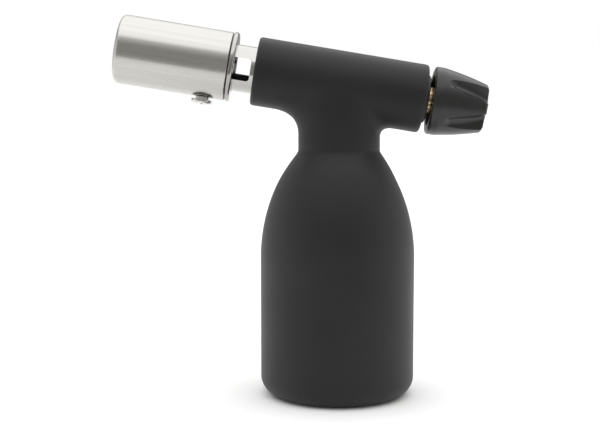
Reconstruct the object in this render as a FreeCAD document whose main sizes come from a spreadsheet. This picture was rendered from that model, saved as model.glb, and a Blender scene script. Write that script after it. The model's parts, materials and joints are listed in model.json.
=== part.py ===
"""Butane hand torch: bottle-shaped body with a tilted head tube on top of its neck.

Millimetres, +Z up.  The origin is the centre of the flat base.  The head tube leans: its nozzle end points
along -X and up, its knob end along +X and down.  Pieces of the head are drawn about their own Z axis, which
is the head axis, with Z = 0 where the head axis crosses the body's axis, +Z towards the nozzle and +X up,
and are then placed by head_placement().
"""
import FreeCAD, Part
import Sketcher
import math
import os
import re

DIMENSIONS = {
    # bottle body
    "body_radius": 29.5, "base_round": 7.2, "seam_height": 3.0, "shoulder_height": 53.1,
    "shoulder_arc": 65.7, "shell_wall": 2.4, "neck_start": 84.0, "neck_half_width": 15.15,
    "neck_half_depth": 12.8, "neck_bore": 10.4, "shelf_low": 92.0, "shelf_high": 95.0,
    # head tube
    "head_height": 119.0, "head_tilt": 9.4, "head_radius": 13.0, "head_bore": 10.6,
    "head_front": 31.9, "head_rear": -33.0, "head_round": 1.4,
    # base cap and its screws
    "plate_thickness": 3.5, "spigot_radius": 27.0, "spigot_inner": 26.4, "spigot_top": 7.5,
    "port_radius": 6.0, "base_screw_circle": 17.0, "base_screw_radius": 1.5, "base_screw_head": 2.8,
    "base_screw_top": 13.0,
    # fuel tank
    "tank_radius": 26.2, "tank_wall": 1.8, "tank_floor": 5.5, "tank_joint": 56.0, "tank_arc": 62.4,
    "tank_top": 91.0, "seal_thickness": 1.0, "boss_radius": 3.4, "boss_top": 16.0,
    # fill valve
    "fill_radius": 4.5, "fill_flange": 7.0, "fill_top": 18.0, "fill_bore": 2.6, "fill_shoulder": 8.2,
    "fill_stem_radius": 1.5, "fill_spring_top": 16.4,
    # outlet
    "outlet_radius": 4.5, "outlet_flange": 7.0, "outlet_low": 86.0, "outlet_high": 102.0,
    "wick_radius": 1.9, "wick_low": 23.0, "nut_low": 95.0, "nut_high": 99.0, "nut_flat": 6.5,
    "feed_radius": 1.3, "feed_bore": 0.8, "feed_low": 97.0, "feed_high": 113.0,
    # gas valve in the head
    "block_rear": -8.0, "block_front": 12.0, "block_low": -8.6, "block_high": 2.8, "block_half": 6.0,
    "chamber_radius": 1.9, "chamber_end": 2.5, "seat_radius": 0.9, "gland_rear": -10.5, "gland_radius": 2.85,
    "stem_flat": 3.2, "stem_rear": -48.4, "needle_radius": 1.75, "hex_front": -11.5,
    "oring_radius": 1.38, "oring_section": 0.36,
    "gas_tube_radius": 1.5, "gas_tube_bore": 0.8, "gas_tube_rear": 9.0,
    # knob and its spindle
    "knob_face": -35.65, "knob_end": -56.75, "knob_radius": 12.9, "knob_end_radius": 8.95,
    "knob_recess": 10.3, "knob_recess_depth": 3.0, "spindle_radius": 5.0, "spindle_front": -20.25,
    "spindle_rear": -52.0, "socket_flat": 3.5, "bush_flange": 9.8, "bush_face": -34.3, "bush_front": -25.0,
    "bush_bore": 5.15, "spline_count": 16, "spline_notch": 0.85, "spline_depth": 0.15,
    "flute_count": 5, "flute_wide": 7.2, "flute_narrow": 1.2, "flute_length": 20.0, "flute_lean": 1.5,
    "flute_offset": 4.1,
    # piezo igniter
    "piezo_offset": 6.6, "piezo_radius": 3.55, "piezo_bore": 2.85, "piezo_rear": -15.8, "piezo_front": 10.0,
    "bridge_rear": -20.2, "bridge_front": -18.6, "plunger_radius": 2.65, "plunger_bore": 2.25,
    "plunger_front": -4.0, "hammer_radius": 2.0, "hammer_rear": -9.0, "hammer_front": -3.2,
    "anvil_rear": -0.8, "anvil_front": 0.8, "crystal_front": 8.0, "terminal_front": 11.5,
    # neck tube, jet and burner
    "neck_tube_radius": 8.85, "neck_tube_bore": 7.75, "neck_tube_rear": 22.0, "neck_tube_front": 47.0,
    "window_rear": 33.4, "window_front": 41.0, "window_height": 8.4, "window_round": 1.3,
    "window_roll": -2.2,
    "holder_rear": 22.5, "holder_front": 27.0, "jet_front": 32.4, "jet_hex": 3.4, "jet_orifice": 0.3,
    "mixer_rear": 40.3, "mixer_front": 66.5, "mixer_radius": 4.2, "mixer_bell": 4.7, "mixer_throat": 2.4,
    "mixer_bore": 3.4, "carrier_front": 53.0, "barrel_rear": 41.9, "barrel_front": 84.3,
    "barrel_radius": 13.0, "barrel_bore": 11.6, "barrel_mouth": 10.6, "lip_length": 2.6, "lip_round": 2.0,
    "cap_rear": 39.65, "cap_front": 41.5, "cap_radius": 13.2, "cap_round": 0.85, "cap_groove": 12.3,
    "stud_roll": 6.0, "stud_place": 49.9, "stud_head": 4.0, "stud_thickness": 1.4, "stud_shank": 1.6,
    "stud_gap": 1.1,
    "flame_rear": 64.0, "flame_front": 70.0, "flame_port": 0.75, "air_port": 0.9,
    # ignition line
    "wire_radius": 1.25, "wire_up": -3.3, "wire_side": 5.2, "wire_leaves": 15.0, "wire_lands": 19.5,
    "wire_bend": 2.4, "insulator_radius": 1.5, "insulator_rear": 55.0,
    "insulator_front": 73.0, "electrode_radius": 0.6, "electrode_front": 77.0,
}

doc = FreeCAD.newDocument("butane_torch")
sheet = doc.addObject("Spreadsheet::Sheet", "dims")
for row, (alias, number) in enumerate(DIMENSIONS.items(), start=1):
    sheet.set("A%d" % row, alias)
    sheet.set("B%d" % row, str(number))
    sheet.setAlias("B%d" % row, alias)
doc.recompute()

PARTS = {}
FULL_TURN = 360.0


def bound(expression):
    """Write an expression of dimension names the way the document reads it."""
    names = "|".join(sorted(DIMENSIONS, key=len, reverse=True))
    return re.sub(r"\b(%s)\b" % names, r"dims.\1", expression)


def value(expression):
    """The present value of an expression of dimension names."""
    result = sheet.evalExpression(bound(expression))
    return float(getattr(result, "Value", result))


def bind(item, prop, expression):
    item.setExpression(prop, bound(expression))


def head_placement(item):
    """Lay a piece drawn about its own Z axis along the head axis."""
    axis_turn = FreeCAD.Rotation(FreeCAD.Vector(0, -1, 0), 90 - value("head_tilt"))
    item.Placement = FreeCAD.Placement(FreeCAD.Vector(0, 0, value("head_height")), axis_turn)
    bind(item, ".Placement.Base.z", "head_height")
    bind(item, ".Placement.Rotation.Angle", "90 - head_tilt")


def keep(label, item, in_head=False):
    """Name a finished sub-part and, for the head's pieces, lay it along the head axis."""
    item.Label = label
    if in_head:
        head_placement(item)
    PARTS[label] = item
    return item


def arc_between(start, end, radius):
    """Arc of the given radius from start to end; a positive radius bulges to the right of the way."""
    chord = end.sub(start)
    half = chord.Length / 2
    side = FreeCAD.Vector(chord.y, -chord.x, 0).normalize()
    rise = math.sqrt(radius ** 2 - half ** 2)
    middle = start.add(chord.multiply(0.5))
    sign = 1 if radius > 0 else -1
    bulge = middle.add(side.multiply(sign * (abs(radius) - rise)))
    return Part.Arc(start, bulge, end)


def turned(name, outline):
    """Body turned about its own Z axis.

    outline lists (radius, height) corners in order; a third entry is the radius of the arc to the next one.
    """
    body = doc.addObject("PartDesign::Body", name)
    sketch = body.newObject("Sketcher::SketchObject", name + "_outline")
    plane = next(f for f in body.Origin.OriginFeatures if f.Role == "XZ_Plane")
    sketch.AttachmentSupport = [(plane, "")]
    sketch.MapMode = "FlatFace"
    corners = [FreeCAD.Vector(value(c[0]), value(c[1]), 0) for c in outline]
    count = len(outline)
    for i, corner in enumerate(outline):
        start, end = corners[i], corners[(i + 1) % count]
        if len(corner) == 3:
            sketch.addGeometry(arc_between(start, end, value(corner[2])))
        else:
            sketch.addGeometry(Part.LineSegment(start, end))
    place_corners(sketch, outline, corners)
    revolution = body.newObject("PartDesign::Revolution", name + "_turned")
    revolution.Profile = (sketch, [""])
    revolution.ReferenceAxis = (sketch, ["V_Axis"])
    revolution.Angle = FULL_TURN
    body.Tip = revolution
    doc.recompute()
    return body


def place_corners(sketch, outline, corners):
    """Join the outline's edges and tie every corner to the sheet."""
    count = len(outline)
    ends = []
    for i in range(count):
        curve = sketch.Geometry[i]
        turned_round = (curve.StartPoint - corners[i]).Length > 1e-6
        ends.append((2, 1) if turned_round else (1, 2))
    for i in range(count):
        after = (i + 1) % count
        sketch.addConstraint(Sketcher.Constraint("Coincident", i, ends[i][1], after, ends[after][0]))
    for i, corner in enumerate(outline):
        for axis, kind, expression in ((-2, "DistanceX", corner[0]), (-1, "DistanceY", corner[1])):
            size = value(expression)
            if abs(size) < 1e-9:
                sketch.addConstraint(Sketcher.Constraint("PointOnObject", i, ends[i][0], axis))
                continue
            number = sketch.addConstraint(Sketcher.Constraint(kind, -1, 1, i, ends[i][0], size))
            bind(sketch, "Constraints[%d]" % number, expression)
        if len(corner) == 3:
            number = sketch.addConstraint(Sketcher.Constraint("Radius", i, abs(value(corner[2]))))
            bind(sketch, "Constraints[%d]" % number, "abs(%s)" % corner[2])


def rounded(body, radius, rings):
    """Round the circular edges of a turned body at the given (radius, height) corners."""
    doc.recompute()
    wanted = [(value(r), value(z)) for r, z in rings]
    picked = []
    for number, edge in enumerate(body.Shape.Edges, start=1):
        if not isinstance(edge.Curve, Part.Circle):
            continue
        spot = (edge.Curve.Radius, edge.Curve.Center.z)
        if any(math.dist(spot, w) < 1e-4 for w in wanted):
            picked.append("Edge%d" % number)
    turned_shape = body.Tip
    fillet = body.newObject("PartDesign::Fillet", body.Name + "_round")
    fillet.Base = (turned_shape, picked)
    bind(fillet, "Radius", radius)
    body.Tip = fillet
    doc.recompute()
    return body


def tube(name, outer, inner, low, high):
    """Plain ring or sleeve."""
    return turned(name, [(outer, low), (outer, high), (inner, high), (inner, low)])


def rod(name, radius, low, high):
    """Plain solid bar."""
    return turned(name, [("0", low), (radius, low), (radius, high), ("0", high)])


def cylinder(radius, low, high, x="0", y="0"):
    """Cutting or joining cylinder along Z at (x, y)."""
    item = doc.addObject("Part::Cylinder", "cylinder")
    bind(item, "Radius", radius)
    bind(item, "Height", "(%s) - (%s)" % (high, low))
    bind(item, ".Placement.Base.x", x)
    bind(item, ".Placement.Base.y", y)
    bind(item, ".Placement.Base.z", low)
    return item


def ring_of_cylinders(count, circle, radius, low, high, first=0.0):
    """Equally spaced cylinders along Z, the first at the angle given in degrees."""
    made = []
    for i in range(count):
        angle = first + i * FULL_TURN / count
        x = "(%s) * cos(%f deg)" % (circle, angle)
        y = "(%s) * sin(%f deg)" % (circle, angle)
        made.append(cylinder(radius, low, high, x, y))
    return made


def block(x_low, x_high, y_low, y_high, z_low, z_high):
    """Box between six planes."""
    item = doc.addObject("Part::Box", "block")
    bind(item, "Length", "(%s) - (%s)" % (x_high, x_low))
    bind(item, "Width", "(%s) - (%s)" % (y_high, y_low))
    bind(item, "Height", "(%s) - (%s)" % (z_high, z_low))
    bind(item, ".Placement.Base.x", x_low)
    bind(item, ".Placement.Base.y", y_low)
    bind(item, ".Placement.Base.z", z_low)
    return item


def prism(flat, low, high):
    """Six-sided bar along Z; flat is the distance from its axis to a side."""
    item = doc.addObject("Part::Prism", "prism")
    item.Polygon = 6
    bind(item, "Circumradius", "(%s) / cos(30 deg)" % flat)
    bind(item, "Height", "(%s) - (%s)" % (high, low))
    bind(item, ".Placement.Base.z", low)
    return item


def joined(name, *shapes):
    fusion = doc.addObject("Part::MultiFuse", name)
    fusion.Shapes = list(shapes)
    return fusion


def holder(name, item):
    """Wrap one finished shape, moved in its own frame, so that it can be placed as a piece."""
    group = doc.addObject("Part::Compound", name)
    group.Links = [item]
    return group


def cut(name, base, *tools):
    """Base with the tools taken away."""
    result = doc.addObject("Part::Cut", name)
    result.Base = base
    result.Tool = tools[0] if len(tools) == 1 else joined(name + "_tools", *tools)
    return result


def spring(name, radius, wire, low, high, turns, x="0"):
    """Coil spring along Z: a round wire swept round a helix."""
    helix = doc.addObject("Part::Helix", name + "_path")
    bind(helix, "Radius", radius)
    bind(helix, "Height", "(%s) - (%s) - 2 * (%s)" % (high, low, wire))
    bind(helix, "Pitch", "((%s) - (%s) - 2 * (%s)) / %d" % (high, low, wire, turns))
    bind(helix, ".Placement.Base.x", x)
    bind(helix, ".Placement.Base.z", "(%s) + (%s)" % (low, wire))
    circle = doc.addObject("Part::Circle", name + "_wire")
    circle.Placement.Rotation = FreeCAD.Rotation(FreeCAD.Vector(1, 0, 0), 90)
    bind(circle, "Radius", wire)
    bind(circle, ".Placement.Base.x", "(%s) + (%s)" % (x, radius))
    bind(circle, ".Placement.Base.z", "(%s) + (%s)" % (low, wire))
    doc.recompute()
    sweep = doc.addObject("Part::Sweep", name)
    sweep.Sections = [circle]
    sweep.Spine = (helix, [])
    sweep.Solid = True
    sweep.Frenet = True
    return sweep


def shoulder(arc, height):
    """Radius of the bottle's shoulder, or of a line inside it, at a height."""
    return "body_radius - shoulder_arc + sqrt((%s)^2 - ((%s) - shoulder_height)^2)" % (arc, height)


# ---------------------------------------------------------------- bottle body and head tube

BASE_CORNER = "body_radius - base_round"
SEAM_RADIUS = "body_radius - base_round + sqrt(base_round^2 - (base_round - seam_height)^2)"


def neck_loft():
    """Neck that turns from the round shoulder into an oval as deep as the head tube, and flares under it.

    Each row holds the height over the neck's start, the reach towards the nozzle, the reach towards the
    knob and the half depth.
    """
    on_shoulder = [(rise, shoulder("shoulder_arc", "neck_start + %g" % rise)) for rise in (3, 6)]
    sections = [(rise, reach, reach, reach + " - 0.02") for rise, reach in on_shoulder]
    sections += [
        (8.2, "neck_half_width + 1.45", "neck_half_width + 1.45", "neck_half_depth + 3.6"),
        (10.4, "neck_half_width + 0.4", "neck_half_width + 0.4", "neck_half_depth + 2.1"),
        (13, "neck_half_width", "neck_half_width", "neck_half_depth + 0.9"),
        (16, "neck_half_width - 0.4", "neck_half_width + 0.4", "neck_half_depth + 0.3"),
        (18, "neck_half_width - 0.4", "neck_half_width + 2", "neck_half_depth + 0.1"),
        (20, "neck_half_width + 0.1", "neck_half_width + 3.8", "neck_half_depth"),
        (23, "neck_half_width + 2.3", "neck_half_width + 4.2", "neck_half_depth"),
        (26, "neck_half_width + 4", "neck_half_width + 3", "neck_half_depth"),
        (30, "neck_half_width + 1.5", "neck_half_width", "neck_half_depth"),
        (34, "neck_half_width - 1", "neck_half_width - 1", "neck_half_depth"),
    ]
    foot = doc.addObject("Part::Circle", "neck_foot")
    bind(foot, "Radius", shoulder("shoulder_arc", "neck_start"))
    bind(foot, ".Placement.Base.z", "neck_start")
    ovals = [foot]
    for rise, to_nozzle, to_knob, half_depth in sections:
        oval = doc.addObject("Part::Ellipse", "neck_oval")
        bind(oval, "MajorRadius", "((%s) + (%s)) / 2" % (to_nozzle, to_knob))
        bind(oval, "MinorRadius", half_depth)
        bind(oval, ".Placement.Base.x", "((%s) - (%s)) / 2" % (to_knob, to_nozzle))
        bind(oval, ".Placement.Base.z", "neck_start + %g" % rise)
        ovals.append(oval)
    loft = doc.addObject("Part::Loft", "neck_loft")
    loft.Sections = ovals
    loft.Solid = True
    return loft


def body_shell():
    bottle = turned("bottle_outside", [
        ("0", "seam_height"),
        (SEAM_RADIUS, "seam_height", "base_round"),
        ("body_radius", "base_round"),
        ("body_radius", "shoulder_height", "shoulder_arc"),
        (shoulder("shoulder_arc", "neck_start"), "neck_start"),
        ("0", "neck_start")])
    head = rounded(rod("head_outside", "head_radius", "head_rear", "head_front"), "head_round",
                   [("head_radius", "head_rear"), ("head_radius", "head_front")])
    head_placement(head)
    cavity = turned("bottle_inside", [
        ("0", "seam_height - 1"),
        ("body_radius - shell_wall", "seam_height - 1"),
        ("body_radius - shell_wall", "shoulder_height", "shoulder_arc - shell_wall"),
        (shoulder("shoulder_arc - shell_wall", "shelf_low"), "shelf_low"),
        ("0", "shelf_low")])
    bore = cylinder("head_bore", "head_rear - 1", "head_front + 1")
    head_placement(bore)
    bind(bore, ".Placement.Base.x", "(1 - head_rear) * cos(head_tilt * 1 deg)")
    bind(bore, ".Placement.Base.z", "head_height + (head_rear - 1) * sin(head_tilt * 1 deg)")
    neck_hole = cylinder("neck_bore", "shelf_high", "head_height - 4")
    shelf_hole = cylinder("outlet_radius + 0.1", "shelf_low - 1", "shelf_high + 1")
    outside = joined("shell_outside", joined("bottle_with_neck", bottle, neck_loft()), head)
    return keep("body_shell", cut("body_shell", outside, cavity, bore, neck_hole, shelf_hole))


def base_cap():
    cap = turned("base_cap_blank", [
        ("port_radius", "0"),
        (BASE_CORNER, "0", "base_round"),
        (SEAM_RADIUS, "seam_height"),
        ("spigot_radius", "seam_height"),
        ("spigot_radius", "spigot_top"),
        ("spigot_inner", "spigot_top"),
        ("spigot_inner", "plate_thickness"),
        ("port_radius", "plate_thickness")])
    holes = ring_of_cylinders(3, "base_screw_circle", "base_screw_radius", "-1", "plate_thickness + 1")
    sinks = ring_of_cylinders(3, "base_screw_circle", "base_screw_head + 0.2", "-1", "1.9")
    keep("base_cap", cut("base_cap", cap, *holes, *sinks))
    screws = []
    for i in range(3):
        angle = i * FULL_TURN / 3
        x = "base_screw_circle * cos(%f deg)" % angle
        y = "base_screw_circle * sin(%f deg)" % angle
        head = cylinder("base_screw_head", "0.3", "1.9", x, y)
        shank = cylinder("base_screw_radius", "1.9", "base_screw_top", x, y)
        drive = cylinder("1.1", "0", "1.2", x, y)
        screws.append(cut("base_screw", joined("screw_blank", head, shank), drive))
    group = doc.addObject("Part::Compound", "base_screws")
    group.Links = screws
    keep("base_screws", group)


# ---------------------------------------------------------------- fuel tank and fill valve

def fuel_tank():
    cup = turned("tank_cup", [
        ("fill_radius", "tank_floor"),
        ("tank_radius", "tank_floor"),
        ("tank_radius", "tank_joint"),
        ("tank_radius - tank_wall", "tank_joint"),
        ("tank_radius - tank_wall", "tank_floor + 2.5"),
        ("fill_radius", "tank_floor + 2.5")])
    bosses = ring_of_cylinders(3, "base_screw_circle", "boss_radius", "tank_floor + 1", "boss_top")
    pilots = ring_of_cylinders(3, "base_screw_circle", "base_screw_radius", "tank_floor - 1",
                               "base_screw_top")
    keep("fuel_tank", cut("fuel_tank", joined("tank_blank", cup, *bosses), *pilots))
    keep("tank_seal", tube("tank_seal", "tank_radius", "tank_radius - tank_wall", "tank_joint",
                           "tank_joint + seal_thickness"))
    lid_low = "tank_joint + seal_thickness"
    dome = turned("lid_outside", [
        ("0", lid_low),
        (shoulder("tank_arc", lid_low), lid_low, "tank_arc"),
        (shoulder("tank_arc", "tank_top"), "tank_top"),
        ("0", "tank_top")])
    spigot = rod("lid_spigot", "tank_radius - tank_wall - 0.1", "tank_joint - 4", lid_low)
    hollow = turned("lid_inside", [
        ("0", "tank_joint - 5"),
        ("tank_radius - 2 * tank_wall", "tank_joint - 5"),
        ("tank_radius - 2 * tank_wall", "tank_joint + 3"),
        (shoulder("tank_arc - tank_wall", "tank_joint + 3"), "tank_joint + 3", "tank_arc - tank_wall"),
        (shoulder("tank_arc - tank_wall", "tank_top - 2.2"), "tank_top - 2.2"),
        ("0", "tank_top - 2.2")])
    outlet_hole = cylinder("outlet_radius", "tank_top - 3", "tank_top + 1")
    keep("tank_lid", cut("tank_lid", joined("lid_blank", dome, spigot), hollow, outlet_hole))


def fill_valve():
    keep("fill_valve_body", turned("fill_valve_body", [
        ("fill_stem_radius + 0.1", "plate_thickness"),
        ("fill_flange", "plate_thickness"),
        ("fill_flange", "tank_floor - 0.5"),
        ("fill_radius", "tank_floor - 0.5"),
        ("fill_radius", "fill_top"),
        ("1.2", "fill_top"),
        ("1.2", "fill_spring_top"),
        ("fill_bore", "fill_spring_top"),
        ("fill_bore", "fill_shoulder"),
        ("fill_stem_radius + 0.1", "fill_shoulder")]))
    keep("fill_valve_seal", tube("fill_valve_seal", "fill_flange", "fill_radius", "tank_floor - 0.5",
                                 "tank_floor"))
    keep("fill_valve_stem", turned("fill_valve_stem", [
        ("0", "plate_thickness + 0.2"),
        ("fill_stem_radius - 0.3", "plate_thickness + 0.2"),
        ("fill_stem_radius", "plate_thickness + 0.6"),
        ("fill_stem_radius", "fill_shoulder + 0.2"),
        ("fill_bore - 0.3", "fill_shoulder + 0.2"),
        ("fill_bore - 0.3", "fill_shoulder + 1.4"),
        ("1", "fill_shoulder + 1.4"),
        ("1", "fill_shoulder + 4"),
        ("0", "fill_shoulder + 4")]))
    keep("fill_valve_spring", spring("fill_valve_spring", "1.75", "0.25", "fill_shoulder + 1.45",
                                     "fill_spring_top - 0.05", 5))


# ---------------------------------------------------------------- outlet at the tank's top

def outlet():
    keep("outlet_seal", tube("outlet_seal", "outlet_radius + 5", "outlet_radius", "tank_top", "shelf_low"))
    keep("outlet_fitting", turned("outlet_fitting", [
        ("wick_radius", "outlet_low"),
        ("outlet_flange", "outlet_low"),
        ("outlet_flange", "tank_top - 2.2"),
        ("outlet_radius", "tank_top - 2.2"),
        ("outlet_radius", "outlet_high"),
        ("feed_radius", "outlet_high"),
        ("feed_radius", "feed_low"),
        ("wick_radius", "feed_low")]))
    keep("wick", rod("wick", "wick_radius", "wick_low", "tank_top"))
    keep("flow_filter", rod("flow_filter", "wick_radius", "tank_top", "tank_top + 3.5"))
    nut = cut("outlet_nut", prism("nut_flat", "nut_low", "nut_high"),
              cylinder("outlet_radius", "nut_low - 1", "nut_high + 1"))
    keep("outlet_nut", nut)
    keep("feed_tube", tube("feed_tube", "feed_radius", "feed_bore", "feed_low", "feed_high"))


# ---------------------------------------------------------------- gas valve in the head

def upright(radius, low, high):
    """Vertical drilling through the head, in the head's own frame."""
    tool = doc.addObject("Part::Cylinder", "drilling")
    bind(tool, "Radius", radius)
    bind(tool, "Height", "(%s) - (%s)" % (high, low))
    tool.Placement.Rotation = FreeCAD.Rotation(FreeCAD.Vector(0, 1, 0), 90 - value("head_tilt"))
    bind(tool, ".Placement.Rotation.Angle", "90 - head_tilt")
    bind(tool, ".Placement.Base.x", "((%s) - head_height) * cos(head_tilt * 1 deg)" % low)
    bind(tool, ".Placement.Base.z", "((%s) - head_height) * sin(head_tilt * 1 deg)" % low)
    return tool


def gas_valve():
    blank = block("block_low", "block_high", "-block_half", "block_half", "block_rear", "block_front")
    keep("valve_block", cut(
        "valve_block", blank,
        cylinder("chamber_radius", "block_rear - 1", "chamber_end"),
        cylinder("seat_radius", "block_rear", "block_front + 1"),
        cylinder("gas_tube_radius", "gas_tube_rear", "block_front + 1"),
        upright("feed_radius", "feed_low", "feed_high"),
        upright("feed_bore", "feed_high - 1", "head_height - 1")), in_head=True)
    keep("gland_nut", tube("gland_nut", "gland_radius", "chamber_radius + 0.05", "gland_rear", "block_rear"),
         in_head=True)
    needle = turned("needle", [
        ("0", "hex_front - 0.5"),
        ("needle_radius", "hex_front - 0.5"),
        ("needle_radius", "gland_rear + 0.6"),
        ("1", "gland_rear + 0.6"),
        ("1", "gland_rear + 1.8"),
        ("needle_radius", "gland_rear + 1.8"),
        ("needle_radius", "chamber_end - 4.5"),
        ("0.8", "chamber_end - 2.5"),
        ("0.75", "chamber_end - 0.5"),
        ("0.3", "chamber_end + 0.8"),
        ("0", "chamber_end + 0.8")])
    drive = prism("stem_flat / 2", "stem_rear", "hex_front")
    keep("valve_stem", joined("valve_stem", needle, drive), in_head=True)
    ring = doc.addObject("Part::Torus", "stem_oring")
    bind(ring, "Radius1", "oring_radius")
    bind(ring, "Radius2", "oring_section")
    bind(ring, ".Placement.Base.z", "gland_rear + 1.2")
    keep("stem_oring", holder("stem_oring_placed", ring), in_head=True)


# ---------------------------------------------------------------- knob, spindle and rear bush

def spindle():
    """Splined brass sleeve that turns the valve stem and slides along it."""
    bar = cylinder("spindle_radius", "spindle_rear", "spindle_front")
    notches = []
    for i in range(int(value("spline_count"))):
        notch = doc.addObject("Part::Prism", "notch")
        notch.Polygon = 3
        bind(notch, "Circumradius", "spline_notch")
        bind(notch, "Height", "spindle_front - 4 - knob_face + 2")
        angle = i * FULL_TURN / value("spline_count")
        notch.Placement.Rotation = FreeCAD.Rotation(FreeCAD.Vector(0, 0, 1), angle + 180)
        bind(notch, ".Placement.Base.x", "(spindle_radius + spline_depth) * cos(%f deg)" % angle)
        bind(notch, ".Placement.Base.y", "(spindle_radius + spline_depth) * sin(%f deg)" % angle)
        bind(notch, ".Placement.Base.z", "knob_face - 2")
        notches.append(notch)
    socket = prism("socket_flat / 2", "spindle_rear + 1", "spindle_front + 1")
    keep("knob_spindle", cut("knob_spindle", bar, socket, *notches), in_head=True)


def knob():
    """Tapered grip with five scooped flutes that open towards its end."""
    blank = turned("knob_blank", [
        ("0", "knob_end"),
        ("knob_end_radius - 1.2", "knob_end"),
        ("knob_end_radius", "knob_end + 0.8"),
        ("knob_radius - 0.35", "knob_face - 3.9"),
        ("knob_radius", "knob_face - 2.8"),
        ("knob_radius", "knob_face - 0.6"),
        ("knob_radius - 0.6", "knob_face"),
        ("knob_recess", "knob_face"),
        ("knob_recess", "knob_face - knob_recess_depth"),
        ("spindle_radius", "knob_face - knob_recess_depth"),
        ("spindle_radius", "spindle_rear"),
        ("0", "spindle_rear")])
    flutes = []
    for i in range(int(value("flute_count"))):
        flute = doc.addObject("Part::Cone", "flute")
        bind(flute, "Radius1", "flute_wide")
        bind(flute, "Radius2", "flute_narrow")
        bind(flute, "Height", "flute_length")
        angle = (i + 0.5) * FULL_TURN / value("flute_count") - 90
        lean = FreeCAD.Rotation(FreeCAD.Vector(0, 1, 0), -value("flute_lean"))
        turn = FreeCAD.Rotation(FreeCAD.Vector(0, 0, 1), angle)
        flute.Placement.Rotation = turn.multiply(lean)
        bind(flute, ".Placement.Base.x", "(knob_end_radius + flute_offset) * cos(%f deg)" % angle)
        bind(flute, ".Placement.Base.y", "(knob_end_radius + flute_offset) * sin(%f deg)" % angle)
        bind(flute, ".Placement.Base.z", "knob_end - 1.5")
        flutes.append(flute)
    keep("knob", cut("knob", blank, *flutes), in_head=True)


def rear_bush():
    keep("rear_bush", turned("rear_bush", [
        ("bush_bore", "bush_face"),
        ("bush_flange - 0.4", "bush_face"),
        ("bush_flange", "bush_face + 0.4"),
        ("bush_flange", "head_rear + 0.6"),
        ("head_bore", "head_rear + 0.6"),
        ("head_bore", "bush_front"),
        ("bush_bore", "bush_front")]), in_head=True)


# ---------------------------------------------------------------- piezo igniter

def offset_up(item):
    """Move a piece of the igniter from the head axis to the igniter's own, above it."""
    bind(item, ".Placement.Base.x", "piezo_offset")
    return holder(item.Name + "_moved", item)


def piezo():
    plate = block("-5.2", "piezo_offset + 3", "-3.4", "3.4", "bridge_rear", "bridge_front")
    keep("push_bridge", cut("push_bridge", plate,
                            cylinder("stem_flat / 2 / cos(30 deg) + 0.3", "bridge_rear - 1",
                                     "bridge_front + 1")), in_head=True)
    keep("push_spring", spring("push_spring", "2.5", "0.3", "bridge_front + 0.05", "gland_rear - 0.05", 5),
         in_head=True)
    keep("piezo_body", offset_up(turned("piezo_case", [
        ("piezo_bore", "piezo_rear"),
        ("piezo_radius", "piezo_rear"),
        ("piezo_radius", "piezo_front"),
        ("0.9", "piezo_front"),
        ("0.9", "crystal_front"),
        ("piezo_bore", "crystal_front")])), in_head=True)
    keep("piezo_plunger", offset_up(turned("plunger_cup", [
        ("0", "bridge_front"),
        ("plunger_radius", "bridge_front"),
        ("plunger_radius", "plunger_front"),
        ("plunger_bore", "plunger_front"),
        ("plunger_bore", "bridge_front + 1.4"),
        ("0", "bridge_front + 1.4")])), in_head=True)
    keep("piezo_hammer", offset_up(rod("hammer_bar", "hammer_radius", "hammer_rear", "hammer_front")),
         in_head=True)
    keep("piezo_anvil", offset_up(rod("anvil_disc", "piezo_bore", "anvil_rear", "anvil_front")),
         in_head=True)
    keep("piezo_crystal", offset_up(rod("crystal_bar", "2.4", "anvil_front", "crystal_front")),
         in_head=True)
    keep("piezo_terminal", offset_up(turned("terminal_pin", [
        ("0", "crystal_front"),
        ("0.9", "crystal_front"),
        ("0.9", "piezo_front"),
        ("1.6", "piezo_front"),
        ("1.6", "terminal_front"),
        ("0", "terminal_front")])), in_head=True)
    keep("hammer_spring", spring("hammer_spring", "1.6", "0.25", "bridge_front + 1.45",
                                 "hammer_rear - 0.05", 6, "piezo_offset"), in_head=True)
    keep("piezo_return_spring", spring("piezo_return_spring", "2.5", "0.2", "plunger_front + 0.05",
                                       "anvil_rear - 0.05", 3, "piezo_offset"), in_head=True)


# ---------------------------------------------------------------- jet and neck tube

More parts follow.
